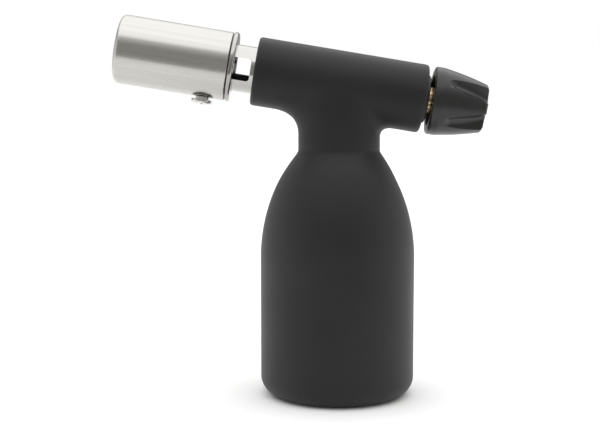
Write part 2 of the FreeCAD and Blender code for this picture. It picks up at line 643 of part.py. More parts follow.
def jet_and_neck_tube():
    keep("gas_tube", tube("gas_tube", "gas_tube_radius", "gas_tube_bore", "gas_tube_rear",
                          "holder_front - 3"), in_head=True)
    disc = turned("holder_disc", [
        ("gas_tube_radius", "holder_rear"),
        ("neck_tube_bore", "holder_rear"),
        ("neck_tube_bore", "holder_front"),
        ("2.2", "holder_front"),
        ("2.2", "holder_front - 3"),
        ("gas_tube_radius", "holder_front - 3")])
    wire_notch = cylinder("wire_radius + 0.55", "holder_rear - 1", "holder_front + 1", "wire_up - 0.2",
                          "wire_side + 0.3")
    keep("jet_holder", cut("jet_holder", disc, wire_notch), in_head=True)
    nose = turned("jet_nose", [
        ("jet_orifice", "holder_front - 3"),
        ("2.2", "holder_front - 3"),
        ("2.2", "holder_front"),
        ("2.9", "holder_front"),
        ("2.9", "holder_front + 3.5"),
        ("1.4", "jet_front"),
        ("jet_orifice", "jet_front")])
    nut = cut("jet_nut", prism("jet_hex", "holder_front", "holder_front + 2.2"),
              cylinder("2.5", "holder_front - 1", "holder_front + 4"))
    keep("gas_jet", joined("gas_jet", nose, nut), in_head=True)
    keep("front_bush", tube("front_bush", "head_bore", "neck_tube_radius", "neck_tube_rear",
                            "head_front - 0.3"), in_head=True)
    sleeve = tube("neck_sleeve", "neck_tube_radius", "neck_tube_bore", "neck_tube_rear", "neck_tube_front")
    window = block("-window_height / 2", "window_height / 2", "-12", "12", "window_rear", "window_front")
    softened = doc.addObject("Part::Fillet", "window_tool")
    softened.Base = window
    doc.recompute()
    corner = value("window_round")
    across = [n for n, e in enumerate(window.Shape.Edges, start=1) if abs(e.tangentAt(0).y) > 0.9]
    softened.Edges = [(n, corner, corner) for n in across]
    neck = cut("neck_tube_cut", sleeve, softened)
    keep("neck_tube", holder("neck_tube", neck), in_head=True)
    neck.Placement.Rotation = FreeCAD.Rotation(FreeCAD.Vector(0, 0, 1), value("window_roll"))


# ---------------------------------------------------------------- burner

def burner():
    keep("mixing_tube", turned("mixing_tube", [
        ("mixer_bell - 0.4", "mixer_rear"),
        ("mixer_bell", "mixer_rear"),
        ("mixer_bell", "mixer_rear + 1.2"),
        ("mixer_radius", "mixer_rear + 2"),
        ("mixer_radius", "mixer_front"),
        ("mixer_bore", "mixer_front"),
        ("mixer_throat", "mixer_rear + 13"),
        ("mixer_throat", "mixer_rear + 8")]), in_head=True)
    carrier = tube("carrier_disc", "barrel_bore", "mixer_radius", "neck_tube_front", "carrier_front")
    wire_hole = cylinder("wire_radius + 0.1", "neck_tube_front - 1", "carrier_front + 1", "wire_up",
                         "wire_side")
    keep("burner_carrier", cut("burner_carrier", carrier, wire_hole, stud_bore("stud_shank", "8")),
         in_head=True)
    cap = turned("barrel_cap", [
        ("neck_tube_radius", "cap_rear"),
        ("cap_radius", "cap_rear"),
        ("cap_radius", "cap_front"),
        ("cap_groove", "cap_front"),
        ("cap_groove", "barrel_rear"),
        ("barrel_bore", "barrel_rear"),
        ("barrel_bore", "neck_tube_front"),
        ("neck_tube_radius", "neck_tube_front")])
    rounded(cap, "cap_round", [("cap_radius", "cap_rear"), ("cap_radius", "cap_front")])
    keep("barrel_cap", cap, in_head=True)
    sleeve = turned("barrel_sleeve", [
        ("barrel_bore", "barrel_rear"),
        ("barrel_radius", "barrel_rear"),
        ("barrel_radius", "barrel_front - lip_round", "lip_round"),
        ("barrel_radius - lip_round", "barrel_front"),
        ("barrel_mouth", "barrel_front"),
        ("barrel_mouth", "barrel_front - lip_length"),
        ("barrel_bore", "barrel_front - lip_length - 1")])
    keep("barrel", cut("barrel", sleeve, stud_bore("stud_shank", "8")), in_head=True)
    flame = turned("flame_disc", [
        ("0", "flame_front"),
        ("0", "mixer_front"),
        ("mixer_radius", "mixer_front"),
        ("mixer_radius", "flame_rear"),
        ("barrel_bore", "flame_rear"),
        ("barrel_bore", "flame_front - 1.5"),
        ("mixer_radius + 3", "flame_front")])
    ports = [cylinder("flame_port * 1.6", "flame_rear", "flame_front + 1")]
    ports += ring_of_cylinders(6, "2.5", "flame_port", "flame_rear", "flame_front + 1")
    wire_angle = math.degrees(math.atan2(value("wire_side"), value("wire_up")))
    ports += ring_of_cylinders(12, "9.4", "air_port", "flame_rear - 1", "flame_front + 1", wire_angle + 15)
    ports.append(cylinder("insulator_radius", "flame_rear - 1", "flame_front + 1", "wire_up", "wire_side"))
    keep("flame_head", cut("flame_head", flame, *ports), in_head=True)


def stud_bore(radius, depth):
    """Radial bar for the stud's hole, from a depth off the head axis out through the barrel's underside."""
    bar = doc.addObject("Part::Cylinder", "stud_bar")
    bind(bar, "Radius", radius)
    bind(bar, "Height", "barrel_radius + 5 - (%s)" % depth)
    downward = FreeCAD.Rotation(FreeCAD.Vector(0, 1, 0), -90)
    roll = FreeCAD.Rotation(FreeCAD.Vector(0, 0, 1), value("stud_roll"))
    bar.Placement.Rotation = roll.multiply(downward)
    bind(bar, ".Placement.Base.x", "-(%s) * cos(stud_roll * 1 deg)" % depth)
    bind(bar, ".Placement.Base.y", "-(%s) * sin(stud_roll * 1 deg)" % depth)
    bind(bar, ".Placement.Base.z", "stud_place")
    return bar


def barrel_screw():
    screw = turned("screw_blank", [
        ("0", "8"),
        ("stud_shank", "8"),
        ("stud_shank", "barrel_radius"),
        ("stud_shank + 0.9", "barrel_radius"),
        ("stud_shank + 0.9", "barrel_radius + stud_gap"),
        ("stud_head", "barrel_radius + stud_gap"),
        ("stud_head", "barrel_radius + stud_gap + stud_thickness - 0.5"),
        ("stud_head - 0.5", "barrel_radius + stud_gap + stud_thickness"),
        ("0", "barrel_radius + stud_gap + stud_thickness")])
    head_top = "barrel_radius + stud_gap + stud_thickness"
    slots = [block("-2.3", "2.3", "-0.4", "0.4", head_top + " - 0.7", head_top + " + 1"),
             block("-0.4", "0.4", "-2.3", "2.3", head_top + " - 0.7", head_top + " + 1")]
    upright_screw = cut("screw_with_slots", screw, *slots)
    downward = FreeCAD.Rotation(FreeCAD.Vector(0, 1, 0), -90)
    roll = FreeCAD.Rotation(FreeCAD.Vector(0, 0, 1), value("stud_roll"))
    upright_screw.Placement.Rotation = roll.multiply(downward)
    bind(upright_screw, ".Placement.Base.z", "stud_place")
    keep("barrel_screw", holder("barrel_screw", upright_screw), in_head=True)


# ---------------------------------------------------------------- ignition line

def ignition_wire():
    """Insulated wire from the igniter's terminal, round the gas tube and along the neck tube."""
    up, side = value("wire_up"), value("wire_side")
    route = [FreeCAD.Vector(value("piezo_offset"), 0, value("terminal_front")),
             FreeCAD.Vector(value("piezo_offset"), 0, value("wire_leaves")),
             FreeCAD.Vector(up, side, value("wire_lands")),
             FreeCAD.Vector(up, side, value("insulator_rear"))]
    bend = value("wire_bend")
    edges = []
    last = route[0]
    for before, corner, after in zip(route, route[1:], route[2:]):
        back = before.sub(corner).normalize()
        ahead = after.sub(corner).normalize()
        half_turn = (math.pi - back.getAngle(ahead)) / 2
        reach = bend * math.tan(half_turn)
        start = corner.add(FreeCAD.Vector(back).multiply(reach))
        end = corner.add(FreeCAD.Vector(ahead).multiply(reach))
        inward = back.add(ahead).normalize()
        middle = corner.add(inward.multiply(bend / math.cos(half_turn) - bend))
        edges.append(Part.LineSegment(last, start).toShape())
        edges.append(Part.Arc(start, middle, end).toShape())
        last = end
    edges.append(Part.LineSegment(last, route[-1]).toShape())
    path = Part.Wire(edges)
    ring = Part.Wire([Part.Circle(route[0], FreeCAD.Vector(0, 0, 1), value("wire_radius")).toShape()])
    wire = doc.addObject("Part::Feature", "ignition_wire")
    wire.Shape = path.makePipeShell([ring], True, True)
    keep("ignition_wire", wire, in_head=True)


def spark_electrode():
    insulator = tube("insulator_tube", "insulator_radius", "electrode_radius", "insulator_rear",
                     "insulator_front")
    pin = turned("electrode_pin", [
        ("0", "insulator_rear"),
        ("electrode_radius", "insulator_rear"),
        ("electrode_radius", "electrode_front - 1"),
        ("0.15", "electrode_front"),
        ("0", "electrode_front")])
    for label, item in (("electrode_insulator", insulator), ("spark_electrode", pin)):
        bind(item, ".Placement.Base.x", "wire_up")
        bind(item, ".Placement.Base.y", "wire_side")
        keep(label, holder(label, item), in_head=True)


# ---------------------------------------------------------------- build, check and write

body_shell()
base_cap()
fuel_tank()
fill_valve()
outlet()
gas_valve()
spindle()
knob()
rear_bush()
piezo()
jet_and_neck_tube()
burner()
barrel_screw()
ignition_wire()
spark_electrode()
doc.recompute()

failed = [item.Label for item in doc.Objects if {"Invalid", "Error"} & set(item.State)]
if failed:
    raise RuntimeError("did not rebuild: %s" % ", ".join(failed))
os.makedirs("parts", exist_ok=True)
spoiled = [label for label, item in PARTS.items() if item.Shape.isNull() or not item.Shape.isValid()]
if spoiled:
    raise RuntimeError("no valid shape: %s" % ", ".join(spoiled))
for label, item in PARTS.items():
    item.Shape.exportStep("parts/%s.step" % label)
    print("%-22s %d solid(s) %9.1f mm3" % (label, len(item.Shape.Solids), item.Shape.Volume))
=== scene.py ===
import json
import math

import bmesh
import bpy
import numpy as np
from mathutils import Matrix, Vector


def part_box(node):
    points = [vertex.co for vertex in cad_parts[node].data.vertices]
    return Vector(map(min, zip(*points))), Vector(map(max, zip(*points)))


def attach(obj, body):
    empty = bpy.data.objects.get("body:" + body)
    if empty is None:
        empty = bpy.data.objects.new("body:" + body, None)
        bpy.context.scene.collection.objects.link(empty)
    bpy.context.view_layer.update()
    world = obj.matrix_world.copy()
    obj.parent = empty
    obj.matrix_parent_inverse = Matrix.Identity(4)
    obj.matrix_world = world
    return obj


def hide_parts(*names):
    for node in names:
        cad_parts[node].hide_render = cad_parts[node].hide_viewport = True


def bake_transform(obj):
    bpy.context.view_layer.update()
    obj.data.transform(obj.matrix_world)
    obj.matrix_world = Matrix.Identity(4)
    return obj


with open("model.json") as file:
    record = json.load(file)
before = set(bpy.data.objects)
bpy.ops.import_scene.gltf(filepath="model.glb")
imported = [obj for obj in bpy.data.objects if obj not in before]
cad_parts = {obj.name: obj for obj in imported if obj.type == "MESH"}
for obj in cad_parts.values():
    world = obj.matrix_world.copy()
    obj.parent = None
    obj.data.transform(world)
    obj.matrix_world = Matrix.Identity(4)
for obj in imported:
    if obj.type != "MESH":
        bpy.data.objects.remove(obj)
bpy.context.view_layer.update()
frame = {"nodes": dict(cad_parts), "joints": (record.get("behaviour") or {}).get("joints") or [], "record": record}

NODES = frame["nodes"]
MM = 0.001
ROUND = 2 * math.pi

# ---------------------------------------------------------------- the head axis, from the knob's joint

TURN = next(j for j in frame["joints"] if j["name"] == "knob_turn")
ALONG = -Vector(TURN["axis"]).normalized()
SIDE = Vector((0, 1, 0))
UP = SIDE.cross(ALONG)
HEAD_POINT = Vector(TURN["pos_m"])
HEAD_AXES = np.array((UP, SIDE, ALONG)).T
HEAD = Matrix((UP, SIDE, ALONG)).transposed().to_4x4()
HEAD.translation = HEAD_POINT
UPRIGHT = Matrix.Identity(4)


def positions(mesh):
    """The mesh's vertices in metres, one row each."""
    flat = np.empty(len(mesh.vertices) * 3)
    mesh.vertices.foreach_get("co", flat)
    return flat.reshape(-1, 3)


def span(node):
    """(start, end, largest radius) of a node along and about the head axis, in mm."""
    local = (positions(NODES[node].data) - np.array(HEAD_POINT)) @ HEAD_AXES / MM
    return local[:, 2].min(), local[:, 2].max(), np.hypot(local[:, 0], local[:, 1]).max()


# ---------------------------------------------------------------- materials

def new_material(name, metallic=0.0, roughness=0.5, **constants):
    """Material whose constant values sit on the shader's own sockets."""
    material = bpy.data.materials.new(name)
    material.use_nodes = True
    shader = material.node_tree.nodes["Principled BSDF"]
    shader.inputs["Metallic"].default_value = metallic
    shader.inputs["Roughness"].default_value = roughness
    for socket, number in constants.items():
        shader.inputs[socket.replace("_", " ")].default_value = number
    return material, material.node_tree, shader


def object_position(tree, scale=(1.0, 1.0, 1.0), turned=False):
    """Position on the piece; turned lays the Z axis along the head axis."""
    place = tree.nodes.new("ShaderNodeTexCoord").outputs["Object"]
    if turned:
        mapping = tree.nodes.new("ShaderNodeMapping")
        mapping.inputs["Rotation"].default_value = (0, math.pi / 2 - math.asin(ALONG.z), 0)
        tree.links.new(place, mapping.inputs["Vector"])
        place = mapping.outputs["Vector"]
    stretch = tree.nodes.new("ShaderNodeMapping")
    stretch.inputs["Scale"].default_value = scale
    tree.links.new(place, stretch.inputs["Vector"])
    return stretch.outputs["Vector"]


def noise(tree, vector, scale, detail=3.0, roughness=0.55):
    node = tree.nodes.new("ShaderNodeTexNoise")
    node.inputs["Scale"].default_value = scale
    node.inputs["Detail"].default_value = detail
    node.inputs["Roughness"].default_value = roughness
    tree.links.new(vector, node.inputs["Vector"])
    return node.outputs["Fac"]


def shades(tree, factor, darker, lighter, low=0.3, high=0.7):
    """Colour that goes from darker to lighter while the factor goes from low to high."""
    node = tree.nodes.new("ShaderNodeValToRGB")
    dark_end, light_end = node.color_ramp.elements
    dark_end.position, dark_end.color = low, (*darker, 1)
    light_end.position, light_end.color = high, (*lighter, 1)
    tree.links.new(factor, node.inputs["Fac"])
    return node.outputs["Color"]


def remap(tree, factor, low, high):
    node = tree.nodes.new("ShaderNodeMapRange")
    node.inputs["To Min"].default_value = low
    node.inputs["To Max"].default_value = high
    tree.links.new(factor, node.inputs["Value"])
    return node.outputs["Result"]


def bump(tree, shader, height, strength, distance):
    node = tree.nodes.new("ShaderNodeBump")
    node.inputs["Strength"].default_value = strength
    node.inputs["Distance"].default_value = distance
    tree.links.new(height, node.inputs["Height"])
    tree.links.new(node.outputs["Normal"], shader.inputs["Normal"])


def worn_colour(tree, base, worn, low=0.53, high=0.60):
    """Base colour that turns to the worn colour at outward edges, where pointiness is above 0.5."""
    mask = tree.nodes.new("ShaderNodeMapRange")
    mask.inputs["From Min"].default_value = low
    mask.inputs["From Max"].default_value = high
    pointiness = tree.nodes.new("ShaderNodeNewGeometry").outputs["Pointiness"]
    tree.links.new(pointiness, mask.inputs["Value"])
    mix = tree.nodes.new("ShaderNodeMix")
    mix.data_type = "RGBA"
    tree.links.new(mask.outputs["Result"], mix.inputs["Factor"])
    tree.links.new(base, mix.inputs["A"])
    mix.inputs["B"].default_value = (*worn, 1)
    return mix.outputs["Result"]


def grey(level):
    return (level, level, level)


def times(factor, colour):
    return tuple(min(1, factor * c) for c in colour)


def soft_black():
    """Soft-touch coating of the shell: matt, with a faint sheen and a very fine grain."""
    material, tree, shader = new_material("soft_touch_black", roughness=0.55, Sheen_Weight=0.15,
                                          Sheen_Roughness=0.5, Specular_IOR_Level=0.24)
    shader.inputs["Sheen Tint"].default_value = (*grey(0.6), 1)
    place = object_position(tree)
    colour = shades(tree, noise(tree, place, 38, 4), (0.0125, 0.0125, 0.0126), (0.0165, 0.0165, 0.0166))
    tree.links.new(worn_colour(tree, colour, grey(0.035)), shader.inputs["Base Color"])
    tree.links.new(remap(tree, noise(tree, place, 70, 5), 0.47, 0.60), shader.inputs["Roughness"])
    bump(tree, shader, noise(tree, place, 5200, 3), 0.10, 0.00004)
    return material


def gloss_black():
    """Smooth plastic of the knob."""
    material, tree, shader = new_material("gloss_black", roughness=0.3, Specular_IOR_Level=0.45)
    place = object_position(tree)
    colour = shades(tree, noise(tree, place, 60, 3), grey(0.011), grey(0.018))
    tree.links.new(worn_colour(tree, colour, grey(0.03)), shader.inputs["Base Color"])
    tree.links.new(remap(tree, noise(tree, place, 220, 6), 0.24, 0.36), shader.inputs["Roughness"])
    bump(tree, shader, noise(tree, place, 900, 4), 0.06, 0.00005)
    return material


def moulded_black():
    """Plain black plastic of the smaller parts."""
    material, tree, shader = new_material("moulded_black", roughness=0.45)
    place = object_position(tree)
    colour = shades(tree, noise(tree, place, 90, 3), grey(0.012), grey(0.02))
    tree.links.new(colour, shader.inputs["Base Color"])
    tree.links.new(remap(tree, noise(tree, place, 150, 4), 0.38, 0.55), shader.inputs["Roughness"])
    bump(tree, shader, noise(tree, place, 4000, 2), 0.12, 0.00005)
    return material


def brushed_barrel():
    """Stainless sleeve with fine lines along it and a slightly warm tint."""
    material, tree, shader = new_material("brushed_stainless", metallic=1.0, roughness=0.3,
                                          Anisotropic=0.35)
    lines = object_position(tree, (1, 1, 0.012), turned=True)
    fine = noise(tree, lines, 5200, 3, 0.7)
    broad = noise(tree, lines, 900, 3)
    colour = shades(tree, broad, (0.455, 0.445, 0.42), (0.51, 0.50, 0.475), 0.25, 0.75)
    tree.links.new(worn_colour(tree, colour, (0.86, 0.86, 0.85)), shader.inputs["Base Color"])
    tree.links.new(remap(tree, fine, 0.2, 0.36), shader.inputs["Roughness"])
    bump(tree, shader, fine, 0.10, 0.00003)
    return material


def polished(name, colour, roughness):
    """Polished or plain turned metal with faint wipe marks."""
    material, tree, shader = new_material(name, metallic=1.0, roughness=roughness)
    place = object_position(tree)
    shade = shades(tree, noise(tree, place, 120, 4), times(0.86, colour), colour)
    tree.links.new(worn_colour(tree, shade, times(1.15, colour)), shader.inputs["Base Color"])
    tree.links.new(remap(tree, noise(tree, place, 500, 5), 0.7 * roughness, 1.5 * roughness),
                   shader.inputs["Roughness"])
    bump(tree, shader, noise(tree, place, 2500, 3), 0.05, 0.00003)
    return material


def plain(name, colour, roughness, grain):
    """Rubber, ceramic, acetal or fibre: soft colour variation and a fine grain."""
    material, tree, shader = new_material(name, roughness=roughness)
    place = object_position(tree)
    tree.links.new(shades(tree, noise(tree, place, 100, 4), times(0.8, colour), colour),
                   shader.inputs["Base Color"])
    tree.links.new(remap(tree, noise(tree, place, 300, 4), 0.85 * roughness, min(1, 1.15 * roughness)),
                   shader.inputs["Roughness"])
    bump(tree, shader, noise(tree, place, grain, 3), 0.15, 0.00006)
    return material


LOOKS = {
    "soft_black": soft_black(),
    "gloss_black": gloss_black(),
    "black_plastic": moulded_black(),
    "brushed_steel": brushed_barrel(),
    "chrome": polished("polished_chrome", (0.39, 0.385, 0.37), 0.12),
    "steel": polished("turned_steel", (0.66, 0.64, 0.62), 0.24),
    "brass": polished("turned_brass", (0.80, 0.64, 0.42), 0.2),
    "tank_white": plain("tank_acetal", (0.78, 0.78, 0.74), 0.4, 1500),
    "rubber": plain("nitrile_rubber", grey(0.02), 0.7, 3000),
    "ceramic": plain("glazed_ceramic", (0.85, 0.83, 0.78), 0.25, 1200),
    "wick_fibre": plain("wick_fibre", (0.80, 0.77, 0.68), 0.95, 2500),
    "wire_black": plain("wire_sleeve", grey(0.012), 0.5, 2500),
    "aluminium": polished("turned_aluminium", (0.74, 0.74, 0.75), 0.28),
}
for part in frame["record"]["subparts"]:
    slots = NODES[part["node"]].data.materials
    slots.clear()
    slots.append(LOOKS[part["material_slot"]])


# ---------------------------------------------------------------- mesh helpers

def link(name, mesh):
    piece = bpy.data.objects.new(name, mesh)
    bpy.context.scene.collection.objects.link(piece)
    return piece


def smooth(mesh, sharp):
    """Smooth shading that stays sharp where faces meet at more than so many degrees."""
    mesh.shade_smooth()
    mesh.set_sharp_from_angle(angle=math.radians(sharp))


def dress(piece, look, body, *nodes):
    """Give a piece its material, slot and body, and let it stand for CAD nodes."""
    piece.data.materials.clear()
    piece.data.materials.append(LOOKS[look])
    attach(piece, body)
    if nodes:
        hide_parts(*nodes)


def new_piece(name, vertices, faces, look, body, *nodes, sharp=35):
    """Closed mesh piece, given in mm about the head axis and standing for CAD nodes."""
    mesh = bpy.data.meshes.new(name)
    mesh.from_pydata([HEAD @ (Vector(v) * MM) for v in vertices], [], faces)
    mesh.validate()
    work = bmesh.new()
    work.from_mesh(mesh)
    bmesh.ops.recalc_face_normals(work, faces=work.faces)
    work.to_mesh(mesh)
    work.free()
    smooth(mesh, sharp)
    dress(link(name, mesh), look, body, *nodes)


def rounded_outline(corners, steps):
    """Closed outline of (radius, along[, rounding]) corners with arcs at the rounded ones."""
    outline = []
    for i, corner in enumerate(corners):
        here = Vector(corner[:2])
        if len(corner) == 2:
            outline.append(tuple(here))
            continue
        rounding = corner[2]
        back = (Vector(corners[i - 1][:2]) - here).normalized()
        ahead = (Vector(corners[(i + 1) % len(corners)][:2]) - here).normalized()
        half = back.angle(ahead) / 2
        reach = rounding / math.tan(half)
        centre = here + (back + ahead).normalized() * rounding / math.sin(half)
        start, end = here + back * reach - centre, here + ahead * reach - centre
        sweep = start.angle_signed(end)
        for k in range(steps + 1):
            turned = Matrix.Rotation(-sweep * k / steps, 2) @ start
            outline.append(tuple(centre + turned))
    return outline


def turned_vertices(outline, segments):
    """The outline's points at every angle of a full turn."""
    vertices = []
    for k in range(segments):
        angle = ROUND * k / segments
        for radius, along in outline:
            vertices.append((radius * math.cos(angle), radius * math.sin(angle), along))
    return vertices


def turned_faces(rows, segments, closed):
    """Quads between neighbouring outlines of so many rows; closed joins the last row to the first."""
    faces = []
    for k in range(segments):
        ahead = (k + 1) % segments
        for i in range(rows if closed else rows - 1):
            j = (i + 1) % rows
            faces.append((k * rows + i, k * rows + j, ahead * rows + j, ahead * rows + i))
    return faces


def lathe(name, corners, look, *nodes, segments=144, steps=6):
    """Piece of the root turned about the head axis from a closed outline that stays off the axis."""
    outline = rounded_outline(corners, steps)
    new_piece(name, turned_vertices(outline, segments), turned_faces(len(outline), segments, True),
              look, "root", *nodes)


def cylinder_tool(name, radius, low, high, place, segments=144):
    """Cutting or joining cylinder in mm."""
    work = bmesh.new()
    bmesh.ops.create_cone(work, cap_ends=True, segments=segments, radius1=radius * MM,
                          radius2=radius * MM, depth=(high - low) * MM)
    bmesh.ops.translate(work, verts=work.verts, vec=(0, 0, (high + low) / 2 * MM))
    work.transform(place)
    mesh = bpy.data.meshes.new(name)
    work.to_mesh(mesh)
    work.free()
    return link(name, mesh)


def freeze(piece):
    """Apply every modifier of the piece to its mesh."""
    graph = bpy.context.evaluated_depsgraph_get()
    graph.update()
    made = bpy.data.meshes.new_from_object(piece.evaluated_get(graph))
    piece.modifiers.clear()
    old, piece.data = piece.data, made
    bpy.data.meshes.remove(old)


def combine(piece, tool, operation):
    """Exact boolean of the piece with the tool, left as a modifier."""
    modifier = piece.modifiers.new(operation, "BOOLEAN")
    modifier.operation = operation
    modifier.solver = "EXACT"
    modifier.object = tool


# ---------------------------------------------------------------- body shell, in mm

SHELL_LOW, SHELL_HIGH = (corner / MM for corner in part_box("body_shell"))
SEAM = SHELL_LOW.z
BODY_RADIUS = SHELL_HIGH.y
WALL = 2.4
BASE_ROUND = 0.244 * BODY_RADIUS
SHOULDER = 1.8 * BODY_RADIUS
SHOULDER_ARC = 2.227 * BODY_RADIUS
SHOULDER_ARC_RISE = 0.62 * SHOULDER_ARC
NECK_HALF = 0.4966 * BODY_RADIUS
NECK_BLEND = 1.1

BUSH_RADIUS = span("front_bush")[2]
TUBE_RADIUS = 13.0
TUBE_ROUND = 1.1
TUBE_REAR, TUBE_FRONT = -33.0, span("front_bush")[1] + 0.3

HEAD_HEIGHT = HEAD_POINT.z / MM
NECK_LEAN = 0.5
LEAN_START, LEAN_END = 0.68 * HEAD_HEIGHT, 0.79 * HEAD_HEIGHT
OVAL_START, OVAL_END = 0.72 * HEAD_HEIGHT, 0.9 * HEAD_HEIGHT
BLEND_PLACES = (-14, 12)    # along X, on the nozzle side and on the knob side
BLEND_SIZES = (9.5, 4.2)
LEAST_BLEND_SHARE = 0.04


def ease(value, start, end):
    """0 before the start, 1 past the end and a smooth step between."""
    share = np.clip((value - start) / (end - start), 0, 1)
    return share * share * (3 - 2 * share)


def half_width(z):
    """Half the body's width at heights z: base rounding, straight wall, shoulder arc and neck."""
    base = BODY_RADIUS - BASE_ROUND
    low = base + np.sqrt(np.clip(BASE_ROUND ** 2 - (BASE_ROUND - z) ** 2, 0, None))
    rise = np.clip(z - SHOULDER, 0, SHOULDER_ARC_RISE)
    arc = BODY_RADIUS - SHOULDER_ARC + np.sqrt(SHOULDER_ARC ** 2 - rise ** 2)
    gap = np.clip(1 - np.abs(arc - NECK_HALF) / (2 * NECK_BLEND), 0, 1)
    shoulder = np.maximum(arc, NECK_HALF) + NECK_BLEND * gap ** 2 / 2
    return np.where(z < BASE_ROUND, low, np.where(z < SHOULDER, BODY_RADIUS, shoulder))


def neck_shift(z):
    """How far the neck stands off the body's axis, towards the knob."""
    return NECK_LEAN * ease(z, LEAN_START, LEAN_END)


def body_distance(p):
    """Distance outside the bottle and its neck, which turns into an oval as deep as the head tube."""
    x, y, z = p.T
    wide = half_width(z)
    deep = wide + (TUBE_RADIUS - wide) * ease(z, OVAL_START, OVAL_END)
    return (np.sqrt(((x - neck_shift(z)) / wide) ** 2 + (y / deep) ** 2) - 1) * np.minimum(wide, deep)


def in_head(p):
    """Points in mm about the head axis."""
    return (p - np.array(HEAD_POINT) / MM) @ HEAD_AXES


def tube_distance(p):
    """Distance outside the head tube with its rounded ends."""
    local = in_head(p)
    middle, half = (TUBE_FRONT + TUBE_REAR) / 2, (TUBE_FRONT - TUBE_REAR) / 2
    radial = np.hypot(local[:, 0], local[:, 1]) - (TUBE_RADIUS - TUBE_ROUND)
    axial = np.abs(local[:, 2] - middle) - (half - TUBE_ROUND)
    outside = np.hypot(np.clip(radial, 0, None), np.clip(axial, 0, None))
    return outside + np.minimum(np.maximum(radial, axial), 0) - TUBE_ROUND


def facing(p):
    """1 where the tube and the neck face the same way, 0 where they face at right angles."""
    local = in_head(p)
    tube = local[:, :1] * np.array(UP) + local[:, 1:2] * np.array(SIDE)
    neck = np.column_stack((p[:, 0] - neck_shift(p[:, 2]), p[:, 1]))
    lengths = np.linalg.norm(tube, axis=1) * np.linalg.norm(neck, axis=1)
    return (tube[:, :2] * neck).sum(1) / np.clip(lengths, 0.01, None)


def shell_distance(p):
    """Bottle and tube joined with a hollow blend, wide on the nozzle side and tight on the knob side."""
    body = np.maximum(body_distance(p), p[:, 2] - HEAD_HEIGHT)
    tube = tube_distance(p)
    blend = np.interp(p[:, 0], BLEND_PLACES, BLEND_SIZES) * np.clip(1 - facing(p), LEAST_BLEND_SHARE, 1)
    gap = np.clip(1 - np.abs(body - tube) / blend, 0, 1)
    return np.minimum(body, tube) - blend * gap ** 2 / 4


def settle(points, distance):
    """Move points onto the surface where the distance is nothing, by Newton's steps."""
    rounds, probe = 6, 0.02
    least_slope, longest_step = 0.05, 1.5
    for _ in range(rounds):
        slope = np.empty_like(points)
        for axis in range(3):
            shift = np.zeros(3)
            shift[axis] = probe
            slope[:, axis] = (distance(points + shift) - distance(points - shift)) / (2 * probe)
        size = np.clip((slope ** 2).sum(1), least_slope, None)
        step = np.clip(distance(points) / size, -longest_step, longest_step)
        points = points - step[:, None] * slope
    return points


def rough_bottle():
    """Closed stack of rings from the base to just under the head axis."""
    around, levels = 96, 90
    lowest, highest = 0.2, HEAD_HEIGHT - 3
    oval_from, oval_depth = 0.85 * HEAD_HEIGHT, TUBE_RADIUS - 0.3
    heights = np.linspace(lowest, highest, levels)
    work = bmesh.new()
    rings = []
    for z, reach in zip(heights, half_width(heights)):
        depth = min(reach, oval_depth) if z > oval_from else reach
        rings.append([work.verts.new((reach * math.cos(a) * MM, depth * math.sin(a) * MM, z * MM))
                      for a in np.linspace(0, ROUND, around, endpoint=False)])
    for low, high in zip(rings, rings[1:]):
        for i in range(around):
            j = (i + 1) % around
            work.faces.new((low[i], low[j], high[j], high[i]))
    work.faces.new(list(reversed(rings[0])))
    work.faces.new(rings[-1])
    mesh = bpy.data.meshes.new("body_shell_outside")
    work.to_mesh(mesh)
    work.free()
    return link("body_shell_outside", mesh)


def body_shell():
    """Evenly meshed union of bottle and tube, settled onto the blended surface and hollowed."""
    voxel, flat_base, clearance = 0.75, 0.9, 0.02
    below, past_end = -20, 5
    piece = rough_bottle()
    tube = cylinder_tool("tube_blank", TUBE_RADIUS, TUBE_REAR, TUBE_FRONT, HEAD, 96)
    combine(piece, tube, "UNION")
    remesh = piece.modifiers.new("remesh", "REMESH")
    remesh.mode = "VOXEL"
    remesh.voxel_size = voxel * MM
    freeze(piece)
    bpy.data.objects.remove(tube)

    points = positions(piece.data) / MM
    resting = points[:, 2:] < flat_base
    points = np.where(resting, points, settle(points, shell_distance))
    piece.data.vertices.foreach_set("co", (points * MM).astype(np.float32).ravel())
    piece.data.update()

    for tool in (
        cylinder_tool("floor_cut", 2 * BODY_RADIUS, below, SEAM, UPRIGHT, 32),
        cylinder_tool("hollow", BODY_RADIUS - WALL, below, SHOULDER, UPRIGHT),
        cylinder_tool("bore", BUSH_RADIUS + clearance, TUBE_REAR - past_end, TUBE_FRONT + past_end, HEAD),
    ):
        combine(piece, tool, "DIFFERENCE")
        freeze(piece)
        bpy.data.objects.remove(tool)
    smooth(piece.data, 40)
    dress(piece, "soft_black", "root", "body_shell")


body_shell()


# ---------------------------------------------------------------- burner, screw and rear bush, in mm

